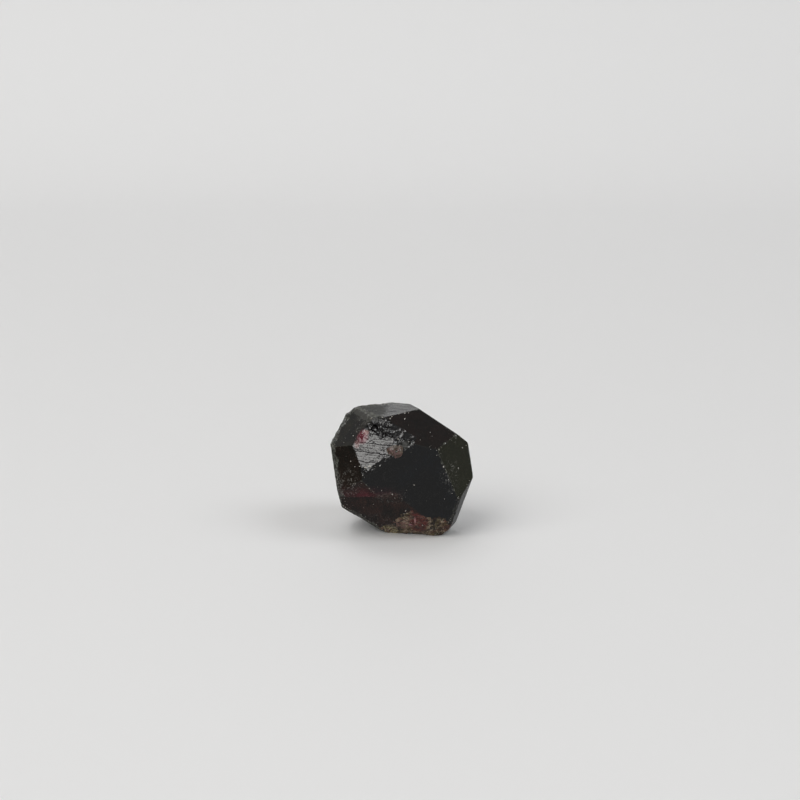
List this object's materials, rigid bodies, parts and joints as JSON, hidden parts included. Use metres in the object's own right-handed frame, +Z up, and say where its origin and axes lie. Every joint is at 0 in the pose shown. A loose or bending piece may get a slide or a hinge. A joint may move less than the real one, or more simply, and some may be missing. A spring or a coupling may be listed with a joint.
{
  "type": "garnet crystal",
  "caption": "Loose, misshapen trapezohedral garnet crystal with flat faces, a stepped striated shoulder and a broken foot; rests on one face.",
  "frame": {"origin": "middle of the crystal's footprint, on the plane that it rests on", "axes": "+Z up from the resting face; +X to the right as seen from the front, along the crystal's width; +Y to the back"},
  "size_m": [0.0218, 0.0188, 0.0195],
  "materials": {
    "garnet": "vitreous, nearly opaque blackish red, glowing dark red where it is thin; striated and broken patches are rough"
  },
  "bodies": {
    "root": {"garnet_crystal": "garnet"}
  },
  "joints": []
}
